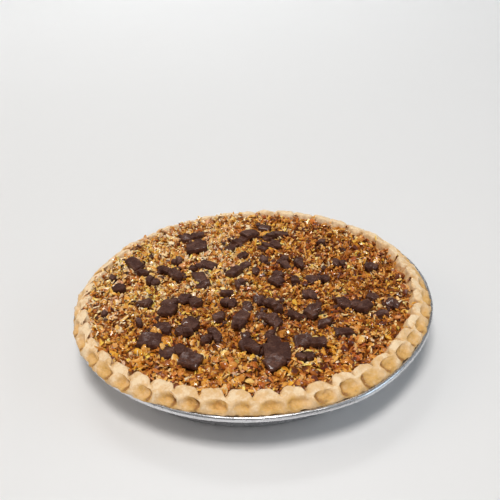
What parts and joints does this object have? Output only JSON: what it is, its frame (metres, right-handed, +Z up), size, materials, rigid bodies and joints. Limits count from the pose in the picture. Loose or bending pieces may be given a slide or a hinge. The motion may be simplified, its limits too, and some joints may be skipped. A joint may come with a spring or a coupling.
{
  "type": "chocolate pecan pie",
  "caption": "Whole round pecan pie in its foil tin, with a thumb-fluted crust and dark chocolate chunks set in a topping of chopped candied pecans.",
  "frame": {"origin": "centre of the tin's base, on the surface that the pie stands on", "axes": "+Z up through the pie, +X to the right and -Y to the front as the picture shows it"},
  "size_m": [0.2484, 0.2484, 0.041],
  "materials": {
    "foil": "thin pressed foil, bright and slightly wrinkled",
    "pastry": "baked pastry, pale cream to golden tan, matt",
    "pecans": "chopped pecans in set amber syrup, glossy",
    "chocolate": "dark chocolate, softly glossy"
  },
  "bodies": {
    "root": {"foil_tin": "foil", "crust": "pastry", "pecan_filling": "pecans", "chocolate_01": "chocolate", "chocolate_02": "chocolate", "chocolate_03": "chocolate", "chocolate_04": "chocolate", "chocolate_05": "chocolate", "chocolate_06": "chocolate", "chocolate_07": "chocolate", "chocolate_08": "chocolate", "chocolate_09": "chocolate", "chocolate_10": "chocolate", "chocolate_11": "chocolate", "chocolate_12": "chocolate", "chocolate_13": "chocolate", "chocolate_14": "chocolate", "chocolate_15": "chocolate", "chocolate_16": "chocolate", "chocolate_17": "chocolate", "chocolate_18": "chocolate", "chocolate_19": "chocolate", "chocolate_20": "chocolate", "chocolate_21": "chocolate", "chocolate_22": "chocolate", "chocolate_23": "chocolate", "chocolate_24": "chocolate", "chocolate_25": "chocolate", "chocolate_26": "chocolate", "chocolate_27": "chocolate", "chocolate_28": "chocolate", "chocolate_29": "chocolate", "chocolate_30": "chocolate", "chocolate_31": "chocolate", "chocolate_32": "chocolate", "chocolate_33": "chocolate", "chocolate_34": "chocolate", "chocolate_35": "chocolate", "chocolate_36": "chocolate", "chocolate_37": "chocolate", "chocolate_38": "chocolate", "chocolate_39": "chocolate", "chocolate_40": "chocolate", "chocolate_41": "chocolate", "chocolate_42": "chocolate", "chocolate_43": "chocolate", "chocolate_44": "chocolate", "chocolate_45": "chocolate", "chocolate_46": "chocolate", "chocolate_47": "chocolate", "chocolate_48": "chocolate", "chocolate_49": "chocolate", "chocolate_50": "chocolate", "chocolate_51": "chocolate", "chocolate_52": "chocolate", "chocolate_53": "chocolate", "chocolate_54": "chocolate", "chocolate_55": "chocolate", "chocolate_56": "chocolate", "chocolate_57": "chocolate"}
  },
  "joints": []
}
